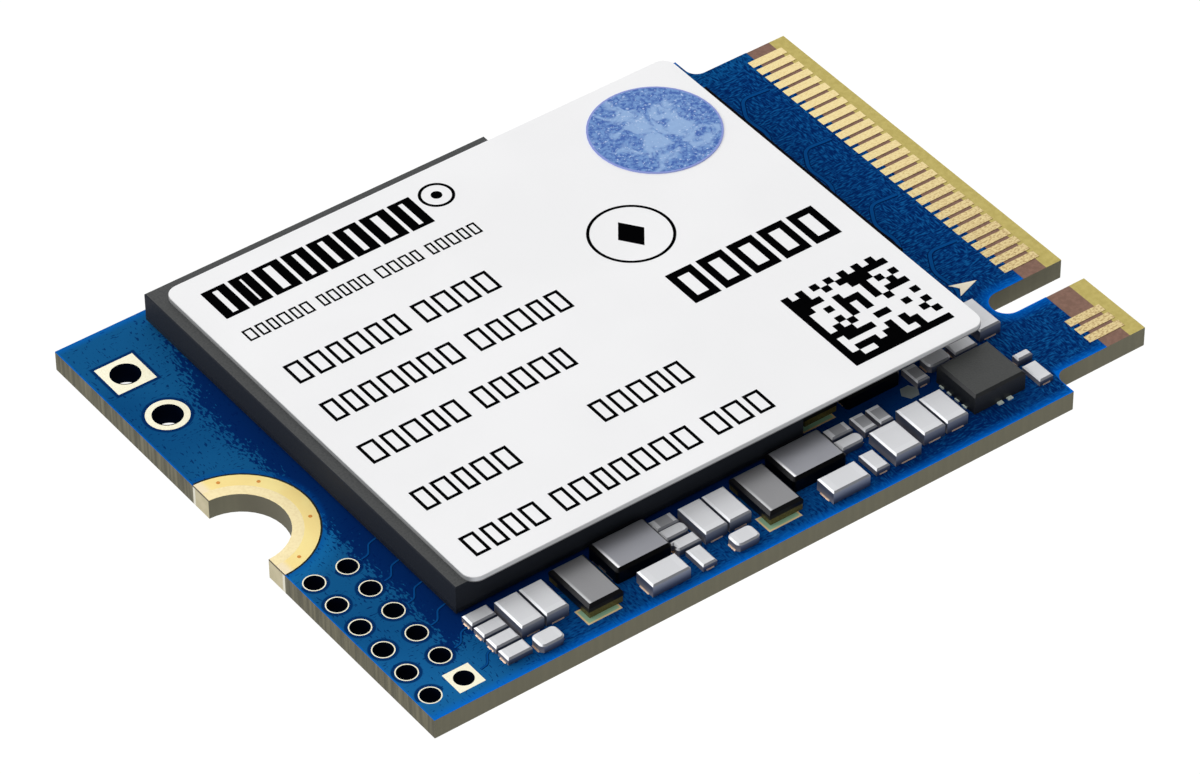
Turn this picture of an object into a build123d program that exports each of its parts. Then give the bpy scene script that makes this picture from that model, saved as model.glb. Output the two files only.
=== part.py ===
from build123d import *
import math
import os

# A solid state drive on a small expansion card: 22 mm wide, 30 mm long and 0.8 mm thick, with its
# edge connector at +X and its mounting notch at -X. The origin is the centre of the card's
# underside, +X runs from the notch to the connector and +Z points to the side with the components.

# ---- Driving dimensions, in millimetres ----

CARD_LENGTH = 30.0
CARD_WIDTH = 22.0
BOARD = 0.80  # thickness of the finished board, from mask to mask
COAT = 0.02  # thickness of the solder mask and of the outer copper
COPPER_PLANE = 0.035
PLANE_SETBACK = 0.35  # from the card's edges to the inner copper plane
MASK_SETBACK = 0.10  # from the card's edges to the lower solder mask

TONGUE_LENGTH = 4.0
TONGUE_WIDTH = 19.85
SHOULDER_FILLET = 0.48
KEY_WIDTH = 1.20
KEY_Y = -6.125
KEY_DEPTH = 3.50
FINGER_PITCH = 0.50
FINGER_WIDTH = 0.35
FINGER_LENGTH = 1.50
FINGER_TO_TIP = 0.48
FIRST_FINGER_TOP = 9.25
FIRST_FINGER_BOTTOM = 9.00
FINGERS_BEFORE_KEY = 29
FINGERS_PAST_KEY_TOP = (35, 36, 37)  # their places, in pitches from the first finger
FINGERS_PAST_KEY_BOTTOM = (33, 34, 35, 36)
MASK_TO_TIP = 1.67

NOTCH_RADIUS = 1.75
LAND_RIM_RADIUS = 2.15
LAND_RADIUS = 2.67
STITCH_RADIUS = 2.40
STITCH_VIA = 0.07
STITCH_ANGLES = (72, 40, -21, -69)

HEADER_X = -13.73
HEADER_PINS = ((8.63, "square"), (6.07, "round"))
HEADER_PAD = 1.52
HEADER_HOLE = 0.50
HEADER_CLEARANCE = 0.30  # from a hole to the inner copper plane
DEBUG_COLUMNS = (-14.45, -13.15)
DEBUG_TOP_Y = -3.55
DEBUG_PITCH = 1.29
DEBUG_ROWS = 6
DEBUG_HOLE = 0.31
DEBUG_RING = 0.39
DEBUG_SQUARE = 1.00
DEBUG_CLEARANCE = 0.20
PLATING = 0.04
TEST_PAD_CENTRE = (6.62, -7.76)
TEST_PAD_RADIUS = 0.35
KEY_MARK_CENTRE = (11.52, -4.65)
KEY_MARK_LENGTH = 0.95
KEY_MARK_WIDTH = 0.66
INK = 0.02

MEMORY_CENTRE = (-4.73, 1.41)
MEMORY_SIZE = (14.0, 18.0)
MEMORY_DIES = (8, (11.6, 14.0), 0.07)  # how many, size of the lowest, height of each
MEMORY_WIRES = (24, 0.5)  # how many along each side, and their spacing
MEMORY_BALLS = (12, 17, 1.0, 1.0)  # columns, rows, pitch, half width of the empty middle
CONTROLLER_CENTRE = (6.80, 2.50)
CONTROLLER_SIZE = (6.56, 11.0)
CONTROLLER_DIES = (1, (4.2, 5.4), 0.25)
CONTROLLER_WIRES = (18, 0.25)
CONTROLLER_BALLS = (9, 15, 0.65, 0)
PACKAGE_HEIGHT = 1.28
PACKAGE_EDGE = 0.03  # chamfer round the top of a moulding
BALL_HEIGHT = 0.15
BALL_RADIUS = 0.20
SUBSTRATE = 0.18
DIE_STEP = 0.15  # how far each stacked die is set back from the one below
WIRE_RUN = 0.60
WIRE_LOOP = 0.10
WIRE_THICKNESS = 0.03
WIRE_INSET = 0.08

LABEL_CENTRE = (-0.74, 1.06)
LABEL_SIZE = (21.10, 17.76)
LABEL_CORNER = 0.50
LABEL_EDGE = 0.02
LABEL_SHEET = 0.16
LABEL_ADHESIVE = 0.04
DISC_CENTRE = (7.04, 6.91)
DISC_RADIUS = 2.38
DISC_THICKNESS = 0.03

POWER_CHIP_CENTRE = (8.70, -8.93)
POWER_CHIP_SIZE = (2.15, 2.02)
POWER_CHIP_HEIGHT = 0.78
POWER_CHIP_EDGE = 0.09
POWER_CHIP_FRAME = 0.12
POWER_CHIP_DIE = (0.80, 0.80, 0.15)
LEAD_PITCH = 0.40
LEAD_ROW_MIDDLE = (8.87, -8.84)
LEAD_WIDTH = 0.20
LEAD_REACH_X = 0.06
LEAD_REACH_Y = 0.14
LEAD_THICKNESS = 0.05

# ---- Places on the board ----

LEFT = -CARD_LENGTH / 2
TIP = CARD_LENGTH / 2
SHOULDER = TIP - TONGUE_LENGTH
HALF_TONGUE = TONGUE_WIDTH / 2
LAMINATE_TOP = BOARD - COAT
MIDDLE = BOARD / 2
PACKAGE_TOP = BOARD + PACKAGE_HEIGHT
LABEL_TOP = PACKAGE_TOP + LABEL_ADHESIVE + LABEL_SHEET

# Chip parts: centre x, centre y, and whether the long side runs along Y.
LARGE_CAPACITORS = (
    (-10.20, -8.91, True), (-9.23, -8.91, True), (-5.40, -10.18, False), (-2.87, -8.90, True),
    (-1.90, -8.90, True), (1.95, -10.16, False), (5.77, -9.38, True), (6.74, -9.38, True),
    (10.51, -6.44, True),
)
WIDE_CAPACITORS = ((4.48, -9.67, True),)
SMALL_CAPACITORS = (
    (-11.22, -8.13, False), (-11.22, -8.79, False), (-11.22, -9.45, False), (-11.22, -10.11, False),
    (-3.87, -10.16, True), (3.43, -9.90, True), (10.53, -9.67, True), (9.32, -7.13, False),
)
ROUNDED_CAPACITORS = ((-10.07, -10.29, False), (-2.23, -10.27, False), (8.18, -7.14, False))
HALF_ROUND_CAPACITORS = ((-3.89, -8.72, False), (3.34, -8.70, False))
NOTCHED_CAPACITORS = ((-3.90, -9.34, False),)
RESISTORS = (
    (-3.90, -8.18, False), (3.34, -8.07, False), (4.27, -8.25, True), (4.94, -8.25, True),
    (7.18, -7.37, True),
)
TINY_CAPACITORS = (
    (10.59, -8.79, False), (5.20, -4.20, True), (5.80, -4.20, True), (6.40, -4.20, True),
    (7.00, -4.20, True), (6.30, 8.60, False), (7.30, 8.60, False), (8.30, 8.60, False),
    (2.91, 4.00, True), (2.91, 5.00, True),
)
CHIP_INDUCTORS = ((-7.69, -9.08), (-0.41, -9.07), (3.42, -5.95))
POWER_INDUCTORS = ((-5.61, -8.65), (1.57, -8.61), (5.50, -6.45))
CRYSTAL_CENTRE = (4.40, 9.00)
CRYSTAL_SIZE = (2.0, 1.6)
CRYSTAL_WALL = 0.20
CRYSTAL_FLOOR = 0.15
CRYSTAL_RIM = 0.40  # height of the tray's rim
CRYSTAL_SHEET = 0.05  # thickness of the quartz blank and of the lid

# ---- Sizes of the chip parts: length, width, height, length of each end cap ----

LARGE = (1.52, 0.88, 0.50, 0.28)
WIDE = (1.44, 1.06, 0.50, 0.28)
SMALL = (0.95, 0.56, 0.26, 0.22)
ROUNDED = (0.95, 0.68, 0.32, 0.22)
MEDIUM = (0.94, 0.50, 0.30, 0.20)
RESISTOR = (0.86, 0.52, 0.30, 0.18)
TINY = (0.60, 0.33, 0.33, 0.14)
CHIP_EDGE = 0.06  # chamfer on the upper edges of a chip part
CHIP_CORNER = 0.20  # corner radius of the rounded kinds, in plan
NOTCH = (0.14, 0.16)  # how deep and wide the notch of the notched kind is
PAD_REACH_ALONG_X = 0.04  # how far a pad and its solder reach past the part's end
PAD_REACH_ALONG_Y = 0.015
PAD_OVERLAP = 0.05  # how far a pad runs on under the ceramic
PAD_NARROWING = 0.55  # width of a pad and its solder against the part's
SOLDER_HEIGHT = 0.05
SOLDER_CURVE = 0.14

CHIP_INDUCTOR = (2.20, 1.38, 0.51)
CHIP_INDUCTOR_EDGE = 0.11
CHIP_INDUCTOR_FOOT = (0.45, 1.32, 0.24)  # length, width and height of a foot
CHIP_INDUCTOR_NEAR_PAD = (-0.955, 0.205, 0.775, 1.35)  # centre and size, in the part's own plan
CHIP_INDUCTOR_FAR_PAD = (0.80, 0.0, 0.60, 1.20)
POWER_INDUCTOR = (2.22, 1.62, 0.60)
POWER_INDUCTOR_EDGE = 0.11
POWER_INDUCTOR_CORNER = 0.12
POWER_INDUCTOR_COIL = (0.30, 0.62, 0.18, 0.44)  # inner and outer radius, lowest and highest level
TERMINAL = (0.40, 1.12, 0.06)  # length, width and thickness of a power inductor's terminal
TERMINAL_TAB = (0.03, 0.40, 0.14)  # its upright end: thickness, width and top level

nodes = {}
os.makedirs("parts", exist_ok=True)


def add(name, *shapes):
    """Files the solids of shapes under a node's name."""
    for shape in shapes:
        nodes.setdefault(name, []).extend(shape.solids())


# ---- Small shapes used all over ----


def block(centre, size, low, high):
    """An upright box: centre and size in plan, and its lowest and highest level."""
    middle = Pos(centre[0], centre[1], (low + high) / 2)
    return middle * Box(size[0], size[1], high - low)


def disc(centre, radius, low, high):
    """An upright cylinder between two levels."""
    return Pos(centre[0], centre[1], (low + high) / 2) * Cylinder(radius, high - low)


def slab(sketch, low, high):
    """A sketch drawn in plan, raised between two levels."""
    return Pos(0, 0, low) * extrude(sketch, high - low)


def upper_edges(part):
    """The edges of a part's topmost face."""
    return part.faces().sort_by(Axis.Z)[-1].edges()


def turned(x, y, along_y):
    """Places a part drawn with its long side along X."""
    return Pos(x, y, 0) * Rot(0, 0, 90 if along_y else 0)


# ---- The board ----


def card_outline():
    """The card in plan: shoulders, tongue, key slot and half-round mounting notch."""
    wide = Pos((LEFT + SHOULDER) / 2, 0) * Rectangle(SHOULDER - LEFT, CARD_WIDTH)
    tongue = Pos((LEFT + TIP) / 2, 0) * Rectangle(CARD_LENGTH, TONGUE_WIDTH)
    outline = wide + tongue
    inner_corners = [
        v for v in outline.vertices()
        if abs(v.X - SHOULDER) < COAT and abs(abs(v.Y) - HALF_TONGUE) < COAT
    ]
    outline = fillet(inner_corners, SHOULDER_FILLET)
    slot_end = TIP - KEY_DEPTH + KEY_WIDTH / 2
    outline -= Pos((slot_end + TIP) / 2, KEY_Y) * Rectangle(TIP - slot_end, KEY_WIDTH)
    outline -= Pos(slot_end, KEY_Y) * Circle(KEY_WIDTH / 2)
    return outline - Pos(LEFT, 0) * Circle(NOTCH_RADIUS)


def finger_rows(first, past_key):
    """Middles of the contact fingers: a row from y = first, and the ones past the key slot."""
    return [first - FINGER_PITCH * k for k in (*range(FINGERS_BEFORE_KEY), *past_key)]


def finger_sketch(rows):
    """All the contact fingers of one face, in plan."""
    middle_x = TIP - FINGER_TO_TIP - FINGER_LENGTH / 2
    return Sketch() + [Pos(middle_x, y) * Rectangle(FINGER_LENGTH, FINGER_WIDTH) for y in rows]


def debug_places():
    """Centres of the twelve debug holes."""
    return [(x, DEBUG_TOP_Y - DEBUG_PITCH * row) for x in DEBUG_COLUMNS for row in range(DEBUG_ROWS)]


def stitch_places():
    """Centres of the small vias through the mounting land."""
    turns = [math.radians(a) for a in STITCH_ANGLES]
    return [(LEFT + STITCH_RADIUS * math.cos(t), STITCH_RADIUS * math.sin(t)) for t in turns]


def land_sketch(inner, outer):
    """A half ring round the mounting notch."""
    ring = Pos(LEFT, 0) * (Circle(outer) - Circle(inner))
    return ring & Rectangle(CARD_LENGTH - 2 * COAT, CARD_WIDTH)


def header_sketch():
    """The square and the round pad of the plated header holes."""
    pads = Sketch()
    for y, shape in HEADER_PINS:
        flat = Rectangle(HEADER_PAD, HEADER_PAD) if shape == "square" else Circle(HEADER_PAD / 2)
        pads += Pos(HEADER_X, y) * flat
    return pads


def debug_sketch():
    """The rings of the debug holes, and the square pad of the last one."""
    rings = [Pos(x, y) * Circle(DEBUG_RING) for x, y in debug_places()]
    return Sketch() + rings + Pos(*debug_places()[-1]) * Rectangle(DEBUG_SQUARE, DEBUG_SQUARE)


def test_pad_sketch():
    return Pos(*TEST_PAD_CENTRE) * RegularPolygon(TEST_PAD_RADIUS, 6)


def plane_sketch(outline):
    """The inner copper plane: clear of the card's edges, the tongue and the plated holes."""
    plane = offset(outline, -PLANE_SETBACK)
    plane -= [Pos(*place) * Circle(DEBUG_RING + DEBUG_CLEARANCE) for place in debug_places()]
    plane -= [Pos(HEADER_X, y) * Circle(HEADER_HOLE + HEADER_CLEARANCE) for y, _ in HEADER_PINS]
    return plane & Pos(-TONGUE_LENGTH / 2, 0) * Rectangle(CARD_LENGTH - TONGUE_LENGTH, CARD_WIDTH)


def make_holes():
    """Plated barrels through the board, and the cutters that make room for them."""
    places = [((HEADER_X, y), HEADER_HOLE) for y, _ in HEADER_PINS]
    places += [(place, DEBUG_HOLE) for place in debug_places()]
    cutters = [disc(place, radius + PLATING, 0, BOARD) for place, radius in places]
    barrels = [
        cutter - disc(place, radius, -BOARD, 2 * BOARD)
        for cutter, (place, radius) in zip(cutters, places)
    ]
    return barrels, cutters


def make_board(mask_openings):
    """Laminate halves, copper plane, solder masks, contacts, lands and plated holes."""
    outline = card_outline()
    inner_outline = offset(outline, -MASK_SETBACK)
    barrels, cutters = make_holes()
    vias = [disc(p, STITCH_VIA, 0, BOARD) for p in stitch_places()]
    holes = cutters + vias

    end_plating = [
        block((LEFT + COAT / 2, side * (NOTCH_RADIUS + LAND_RADIUS) / 2),
              (COAT, LAND_RADIUS - NOTCH_RADIUS), 0, BOARD)
        for side in (-1, 1)
    ]
    top_fingers = finger_sketch(finger_rows(FIRST_FINGER_TOP, FINGERS_PAST_KEY_TOP))
    bottom_fingers = finger_sketch(finger_rows(FIRST_FINGER_BOTTOM, FINGERS_PAST_KEY_BOTTOM))
    land = land_sketch(LAND_RIM_RADIUS, LAND_RADIUS)
    land_rim = land_sketch(NOTCH_RADIUS, LAND_RIM_RADIUS)
    bottom_land = land_sketch(NOTCH_RADIUS + MASK_SETBACK, LAND_RADIUS)

    mask_edge = Pos((LEFT + TIP - MASK_TO_TIP) / 2, 0) * Rectangle(
        CARD_LENGTH - MASK_TO_TIP, CARD_WIDTH
    )
    copper_top = top_fingers + land + land_rim + header_sketch() + debug_sketch() + test_pad_sketch()
    copper_bottom = bottom_fingers + bottom_land + header_sketch() + debug_sketch()
    land_disc = Pos(LEFT, 0) * Circle(LAND_RADIUS)
    mask_top = slab((outline & mask_edge) - copper_top - land_disc, LAMINATE_TOP, BOARD)
    mask_top -= mask_openings + holes
    mask_bottom = slab((inner_outline & mask_edge) - copper_bottom - land_disc, 0, COAT)
    mask_bottom -= holes

    plane = slab(plane_sketch(outline), MIDDLE - COPPER_PLANE, MIDDLE) - vias
    recess = slab((inner_outline & mask_edge) + copper_bottom, 0, COAT)
    lower = slab(outline, 0, MIDDLE) - (holes + end_plating + [recess, plane])
    upper = slab(outline, MIDDLE, LAMINATE_TOP) - (holes + end_plating)
    add("laminate_lower_half", lower)
    add("laminate_upper_half", upper)
    add("inner_copper_plane", plane)
    add("solder_mask_top", mask_top)
    add("solder_mask_bottom", mask_bottom)
    add("contact_fingers_top", slab(top_fingers, LAMINATE_TOP, BOARD))
    add("contact_fingers_bottom", slab(bottom_fingers, 0, COAT))
    add("mounting_land_top", slab(land, LAMINATE_TOP, BOARD) - vias)
    add("mounting_land_rim", slab(land_rim, LAMINATE_TOP, BOARD))
    add("mounting_land_bottom", slab(bottom_land, 0, COAT) - vias)
    add("board_end_plating", *end_plating)
    add("stitching_vias", *vias)
    add("plated_hole_barrels", *barrels)
    header_pads, debug_pads = header_sketch(), debug_sketch()
    for low, name in ((LAMINATE_TOP, "top"), (0, "bottom")):
        add(f"header_pads_{name}", slab(header_pads, low, low + COAT) - cutters)
        add(f"debug_pads_{name}", slab(debug_pads, low, low + COAT) - cutters)
    add("test_pad", slab(test_pad_sketch(), LAMINATE_TOP, BOARD))


def make_key_mark():
    """A plain printed arrow head that points to the keyed end of the connector."""
    reach, half = KEY_MARK_LENGTH / 2, KEY_MARK_WIDTH / 2
    arrow = Polygon((-reach, -half), (reach, 0), (-reach, half), (-reach / 2, 0), align=None)
    add("key_mark", slab(Pos(*KEY_MARK_CENTRE) * arrow, BOARD, BOARD + INK))


# ---- Chip packages ----


def ball_grid(centre, columns, rows, pitch, skip):
    """Solder balls under a package; skip is half the width of the middle left empty."""
    flat = BALL_HEIGHT / 2
    ball = Sphere(BALL_RADIUS) & Box(2 * BALL_RADIUS, 2 * BALL_RADIUS, BALL_HEIGHT)
    level = BOARD + flat
    steps_x = [(i - (columns - 1) / 2) * pitch for i in range(columns)]
    steps_y = [(j - (rows - 1) / 2) * pitch for j in range(rows)]
    return [
        Pos(centre[0] + x, centre[1] + y, level) * ball
        for x in steps_x for y in steps_y if abs(x) >= skip
    ]


def bond_wires(centre, die_half, foot_half, low, high, count, spacing):
    """Thin looped wires from a die's two long edges down to the substrate."""
    thick = WIRE_THICKNESS
    run = foot_half - die_half
    crest = high + WIRE_LOOP
    knee = crest - (high - low) / 2
    shape = Polyline(
        (0, high), (0, crest), (run, knee), (run, low), (run - thick, low),
        (run - thick, knee - thick), (thick, crest - thick), (thick, high), close=True,
    )
    loop = extrude(Plane.XZ * make_face(shape), thick / 2, both=True)
    wires = []
    for side, turn in ((-1, 180), (1, 0)):
        x = centre[0] + side * (die_half - WIRE_INSET)
        for k in range(count):
            y = centre[1] + (k - (count - 1) / 2) * spacing
            wires.append(Pos(x, y, 0) * Rot(0, 0, turn) * loop)
    return wires


def make_package(name, centre, size, dies, wires, balls):
    """A ball grid package: substrate, stacked dies, bond wires, moulded cap and solder balls."""
    base = BOARD + BALL_HEIGHT
    floor = base + SUBSTRATE
    count, (die_x, die_y), thick = dies
    stack = [
        block(centre, (die_x - 2 * DIE_STEP * k, die_y), floor + thick * k, floor + thick * (k + 1))
        for k in range(count)
    ]
    top_half = die_x / 2 - DIE_STEP * (count - 1)
    foot_half = die_x / 2 + WIRE_RUN
    loops = bond_wires(centre, top_half, foot_half, floor, floor + count * thick, *wires)
    cap = block(centre, size, floor, PACKAGE_TOP)
    cap = chamfer(upper_edges(cap), PACKAGE_EDGE)
    add(f"{name}_substrate", block(centre, size, base, floor))
    add(f"{name}_dies", *stack)
    add(f"{name}_bond_wires", *loops)
    add(f"{name}_moulding", cap - (stack + loops))
    add(f"{name}_solder_balls", *ball_grid(centre, *balls))


def make_power_chip():
    """The power management chip: moulding, die, centre pad and the leads at its edges."""
    x, y = POWER_CHIP_CENTRE
    half_x, half_y = POWER_CHIP_SIZE[0] / 2, POWER_CHIP_SIZE[1] / 2
    body = block(POWER_CHIP_CENTRE, POWER_CHIP_SIZE, BOARD, BOARD + POWER_CHIP_HEIGHT)
    body = chamfer(upper_edges(body), POWER_CHIP_EDGE)
    frame_top = BOARD + POWER_CHIP_FRAME
    paddle = block(POWER_CHIP_CENTRE, (half_x, half_y), BOARD, frame_top)
    die_x, die_y, die_z = POWER_CHIP_DIE
    die = block(POWER_CHIP_CENTRE, (die_x, die_y), frame_top, frame_top + die_z)
    lead_x, lead_y = LEAD_ROW_MIDDLE
    places = []
    for side in (-1, 1):
        places += [((x + side * half_x, lead_y + LEAD_PITCH * step), (2 * LEAD_REACH_X, LEAD_WIDTH))
                   for step in (-1.5, -0.5, 0.5, 1.5)]
        places += [((lead_x + LEAD_PITCH * step, y + side * half_y), (LEAD_WIDTH, 2 * LEAD_REACH_Y))
                   for step in (-0.5, 0.5)]
    leads = [block(place, size, BOARD, BOARD + LEAD_THICKNESS) for place, size in places]
    add("power_chip_moulding", body - [paddle, die] - leads)
    add("power_chip_paddle", paddle)
    add("power_chip_die", die)
    add("power_chip_leads", *leads)


# ---- Chip parts ----


def chip_shape(kind, size):
    """The outer shape of a chip part, lying with its long side along X."""
    length, width, height, _ = size
    plan = Rectangle(length, width)
    if kind == "rounded":
        plan = RectangleRounded(length, width, CHIP_CORNER)
    elif kind == "half_round":
        right = [v for v in plan.vertices() if v.X > 0]
        plan = fillet(right, CHIP_CORNER)
    elif kind == "notched":
        left = [v for v in plan.vertices() if v.X < 0]
        plan = chamfer(left, CHIP_EDGE) - Pos(-length / 2, 0) * Rectangle(*NOTCH)
    body = slab(plan, BOARD, BOARD + height)
    return chamfer(upper_edges(body), CHIP_EDGE)


def solder_wedge(size, reach):
    """One concave run of solder against the +X end of a chip part."""
    toe, top = (reach, 0), (0, SOLDER_HEIGHT)
    edge = Line((0, 0), toe) + RadiusArc(toe, top, SOLDER_CURVE) + Line(top, (0, 0))
    section = make_face(Plane.XZ * edge)
    width = PAD_NARROWING * size[1]
    return Pos(size[0] / 2, 0, BOARD) * extrude(section, width / 2, both=True)


def chip_pads(size, reach):
    """The two copper pads under a chip part's ends."""
    length, width, _, cap = size
    inside, outside = length / 2 - cap - PAD_OVERLAP, length / 2 + reach
    middle, plan = (inside + outside) / 2, (outside - inside, PAD_NARROWING * width)
    return [block((side * middle, 0), plan, LAMINATE_TOP, BOARD) for side in (-1, 1)]


def make_chips(name, middle_name, places, size, kind="plain"):
    """Every part of one size: the ceramic middles, the metal end caps, pads and solder."""
    length, width, _, cap = size
    whole = chip_shape(kind, size)
    slice_box = block((0, 0), (length - 2 * cap, 2 * width), 0, 2 * BOARD)
    middle, ends = whole & slice_box, whole - slice_box
    soldered_ends = (0,) if kind == "notched" else (0, 180)
    pads = []
    for x, y, along_y in places:
        place = turned(x, y, along_y)
        reach = PAD_REACH_ALONG_Y if along_y else PAD_REACH_ALONG_X
        wedge = solder_wedge(size, reach)
        add(middle_name, place * middle)
        add(f"{name}_end_caps", place * ends)
        add("solder_joints", *[place * Rot(0, 0, turn) * wedge for turn in soldered_ends])
        pads += [place * pad for pad in chip_pads(size, reach)]
    return pads


def make_chip_inductors():
    """Chip inductors: a moulded block on two metal feet, each on its own gold pad."""
    length, width, height = CHIP_INDUCTOR
    foot_length, foot_width, foot_height = CHIP_INDUCTOR_FOOT
    feet_top = BOARD + foot_height
    mould = block((0, 0), (length, width), feet_top, BOARD + height)
    mould = chamfer(upper_edges(mould), CHIP_INDUCTOR_EDGE)
    winding = block((0, 0), (length - 2 * foot_length, foot_width), BOARD + COAT, feet_top)
    feet = [
        block((side * (length - foot_length) / 2, 0), (foot_length, foot_width), BOARD, feet_top)
        for side in (-1, 1)
    ]
    lands = [
        block((x, y), (along, across), LAMINATE_TOP, BOARD)
        for x, y, along, across in (CHIP_INDUCTOR_NEAR_PAD, CHIP_INDUCTOR_FAR_PAD)
    ]
    pads = []
    for x, y in CHIP_INDUCTORS:
        place = turned(x, y, True)
        add("chip_inductor_mouldings", place * mould)
        add("chip_inductor_windings", place * winding)
        add("chip_inductor_feet", *[place * foot for foot in feet])
        pads += [place * land for land in lands]
    add("chip_inductor_pads", *pads)
    return pads


def make_power_inductors():
    """Power inductors: pressed powder core round a flat coil, with terminals underneath."""
    length, width, height = POWER_INDUCTOR
    core = block((0, 0), (length, width), BOARD, BOARD + height)
    core = fillet(core.edges().filter_by(Axis.Z), POWER_INDUCTOR_CORNER)
    core = chamfer(upper_edges(core), POWER_INDUCTOR_EDGE)
    inner, outer, coil_low, coil_high = POWER_INDUCTOR_COIL
    coil = disc((0, 0), outer, BOARD + coil_low, BOARD + coil_high) - disc((0, 0), inner, 0, 2 * BOARD)
    run, across, thick = TERMINAL
    tab_thick, tab_width, tab_top = TERMINAL_TAB
    terminals, lands = [], []
    for side in (-1, 1):
        middle = side * (length - run) / 2
        foot = block((middle, 0), (run, across), BOARD, BOARD + thick)
        tab_x = side * (length - tab_thick) / 2
        tab = block((tab_x, 0), (tab_thick, tab_width), BOARD + thick, BOARD + tab_top)
        terminals.append(foot + tab)
        lands.append(block((middle, 0), (run, across), LAMINATE_TOP, BOARD))
    core -= [coil, *terminals]
    pads = []
    for x, y in POWER_INDUCTORS:
        place = Pos(x, y, 0)
        add("power_inductor_cores", place * core)
        add("power_inductor_coils", place * coil)
        add("power_inductor_terminals", *[place * terminal for terminal in terminals])
        pads += [place * land for land in lands]
    return pads


def make_crystal():
    """The clock crystal under the label: ceramic tray, quartz blank and metal lid."""
    floor, rim = BOARD + CRYSTAL_FLOOR, BOARD + CRYSTAL_RIM
    lid_size, well_size, blank_size = [
        tuple(side - CRYSTAL_WALL * walls for side in CRYSTAL_SIZE) for walls in (1, 2, 3)
    ]
    tray = block(CRYSTAL_CENTRE, CRYSTAL_SIZE, BOARD, rim)
    add("crystal_tray", tray - block(CRYSTAL_CENTRE, well_size, floor, rim))
    add("crystal_blank", block(CRYSTAL_CENTRE, blank_size, floor, floor + CRYSTAL_SHEET))
    add("crystal_lid", block(CRYSTAL_CENTRE, lid_size, rim, rim + CRYSTAL_SHEET))


# ---- Label ----


def make_label():
    """The printed label over the packages, its adhesive, and the round security disc on it."""
    plan = Pos(*LABEL_CENTRE) * RectangleRounded(*LABEL_SIZE, LABEL_CORNER)
    glue_top = PACKAGE_TOP + LABEL_ADHESIVE
    sheet = slab(plan, glue_top, LABEL_TOP)
    sheet = chamfer(upper_edges(sheet), LABEL_EDGE)
    add("label_adhesive", slab(plan, PACKAGE_TOP, glue_top))
    add("label_sheet", sheet)
    add("security_disc", disc(DISC_CENTRE, DISC_RADIUS, LABEL_TOP, LABEL_TOP + DISC_THICKNESS))


def make_all():
    pads = make_chips("capacitor", "capacitor_ceramics", LARGE_CAPACITORS, LARGE)
    pads += make_chips("capacitor", "capacitor_ceramics", WIDE_CAPACITORS, WIDE)
    pads += make_chips("small_capacitor", "small_capacitor_ceramics", SMALL_CAPACITORS, SMALL)
    pads += make_chips(
        "rounded_capacitor", "rounded_capacitor_ceramics", ROUNDED_CAPACITORS, ROUNDED, "rounded"
    )
    pads += make_chips("filter", "filter_ceramics", HALF_ROUND_CAPACITORS, MEDIUM, "half_round")
    pads += make_chips("filter", "filter_ceramics", NOTCHED_CAPACITORS, MEDIUM, "notched")
    pads += make_chips("resistor", "resistor_ceramics", RESISTORS, RESISTOR)
    pads += make_chips("tiny_capacitor", "tiny_capacitor_ceramics", TINY_CAPACITORS, TINY)
    pads += make_power_inductors()
    add("component_pads", *pads)
    inductor_pads = make_chip_inductors()
    make_board(pads + inductor_pads)
    make_key_mark()
    make_package(
        "memory", MEMORY_CENTRE, MEMORY_SIZE, MEMORY_DIES, MEMORY_WIRES, MEMORY_BALLS
    )
    make_package(
        "controller", CONTROLLER_CENTRE, CONTROLLER_SIZE,
        CONTROLLER_DIES, CONTROLLER_WIRES, CONTROLLER_BALLS,
    )
    make_power_chip()
    make_crystal()
    make_label()


make_all()
for name, solids in nodes.items():
    export_step(Compound(solids), f"parts/{name}.step")
print(len(nodes), "nodes")
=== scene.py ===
import math
import random

import bmesh
import bpy
from mathutils import Matrix, Vector


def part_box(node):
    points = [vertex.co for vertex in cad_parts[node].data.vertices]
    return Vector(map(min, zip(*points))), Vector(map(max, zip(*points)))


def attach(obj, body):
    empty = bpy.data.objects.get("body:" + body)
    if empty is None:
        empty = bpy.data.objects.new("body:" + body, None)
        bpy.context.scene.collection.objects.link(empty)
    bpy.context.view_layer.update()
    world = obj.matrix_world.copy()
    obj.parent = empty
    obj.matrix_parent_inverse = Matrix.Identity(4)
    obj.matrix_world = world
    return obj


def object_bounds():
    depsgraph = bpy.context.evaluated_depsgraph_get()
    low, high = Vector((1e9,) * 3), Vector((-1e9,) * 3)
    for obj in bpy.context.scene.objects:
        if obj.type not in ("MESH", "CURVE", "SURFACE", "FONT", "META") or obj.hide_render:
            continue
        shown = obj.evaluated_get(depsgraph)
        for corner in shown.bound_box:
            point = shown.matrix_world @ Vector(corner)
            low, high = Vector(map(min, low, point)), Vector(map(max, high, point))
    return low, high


# The looks of a small solid state drive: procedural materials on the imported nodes, the generic
# print on its label, the copper traces under its solder mask, a studio and a camera.

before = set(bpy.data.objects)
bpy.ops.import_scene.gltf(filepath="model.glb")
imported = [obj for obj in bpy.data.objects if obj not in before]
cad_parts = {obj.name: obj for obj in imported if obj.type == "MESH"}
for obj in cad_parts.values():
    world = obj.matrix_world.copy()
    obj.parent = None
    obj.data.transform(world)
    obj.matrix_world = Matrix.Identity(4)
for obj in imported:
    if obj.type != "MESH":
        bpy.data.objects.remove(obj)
cad_low, cad_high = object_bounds()

MM = 0.001
INK_HEIGHT = 0.006 * MM
TRACE_HEIGHT = 0.03 * MM
TRACE_WIDTH = 0.26 * MM

# Parts of the card's outline that no node's box gives, in millimetres.
TONGUE_LENGTH = 4.0
TONGUE_MARGIN = 0.50  # from the last contact to the side of the tongue
KEY_WIDTH = 1.20
KEY_DEPTH = 3.50
KEY_Y = -6.125


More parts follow.
